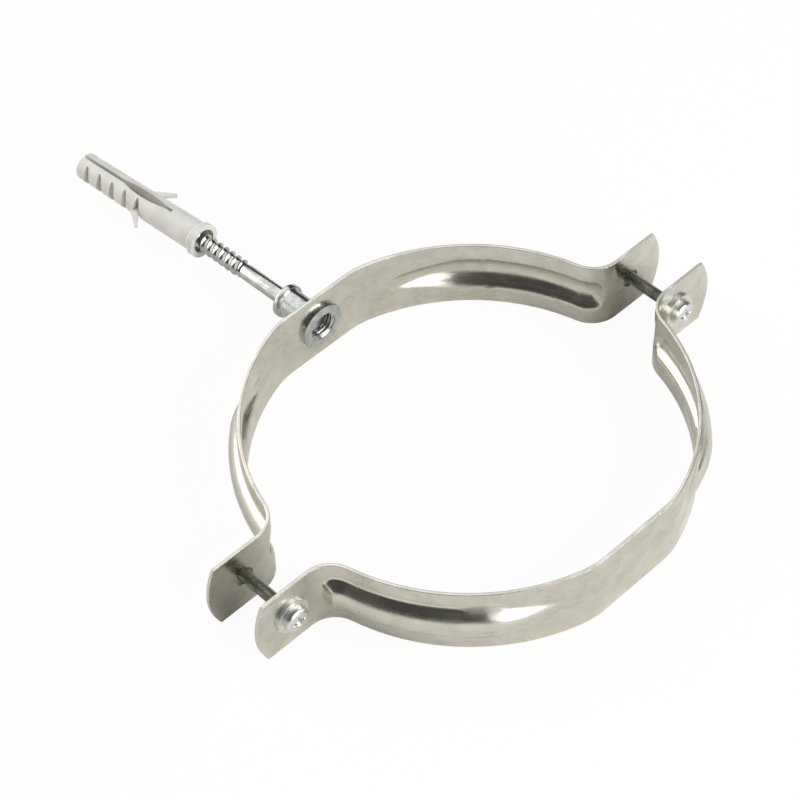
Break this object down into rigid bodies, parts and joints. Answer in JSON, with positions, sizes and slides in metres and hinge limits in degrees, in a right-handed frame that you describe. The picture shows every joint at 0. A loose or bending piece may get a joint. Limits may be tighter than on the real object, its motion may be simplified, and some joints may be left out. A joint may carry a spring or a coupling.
{
  "type": "flue pipe clamp",
  "caption": "Split ring pipe clamp of beaded sheet strip with bolted ears, a threaded boss, a wall screw and a plastic wall plug.",
  "frame": {"origin": "centre of the pipe seat, at half the width of the strip", "axes": "+Z along the pipe, +Y from the pipe towards the wall along the threaded boss, +X towards one pair of ears"},
  "size_m": [0.1926, 0.2458, 0.025],
  "materials": {
    "band_steel": "satin",
    "fastener_steel": "bright",
    "plug_plastic": "matte"
  },
  "bodies": {
    "rear_half": {"rear_band": "band_steel", "threaded_boss": "fastener_steel", "left_nut": "fastener_steel", "right_nut": "fastener_steel"},
    "front_half": {"front_band": "band_steel", "left_washer": "fastener_steel", "right_washer": "fastener_steel"},
    "right_screw": {"right_bolt": "fastener_steel"},
    "left_screw": {"left_bolt": "fastener_steel"},
    "wall_fixing": {"wall_screw": "fastener_steel", "wall_plug": "plug_plastic"}
  },
  "joints": [
    {"name": "front_half_close", "type": "slide", "parent": "rear_half", "child": "front_half", "axis": [0, 1, 0], "range_m": [-0.002, 0.018]},
    {"name": "right_bolt_turn", "type": "hinge", "parent": "front_half", "child": "right_screw", "pos_m": [0.08282, 0, 0], "axis": [0, 1, 0], "range_deg": [-1029, 9258]},
    {"name": "left_bolt_turn", "type": "hinge", "parent": "front_half", "child": "left_screw", "pos_m": [-0.08167, 0, 0], "axis": [0, 1, 0], "range_deg": [-1029, 9258]},
    {"name": "wall_screw_turn", "type": "hinge", "parent": "rear_half", "child": "wall_fixing", "pos_m": [0, 0.06645, 0], "axis": [-0.0262, 0.9995, -0.0175], "range_deg": [-960, 720]}
  ],
  "couplings": [
    {"joint": "right_bolt_turn", "follows": "front_half_close", "rad_per_m": 8976},
    {"joint": "left_bolt_turn", "follows": "front_half_close", "rad_per_m": 8976}
  ]
}
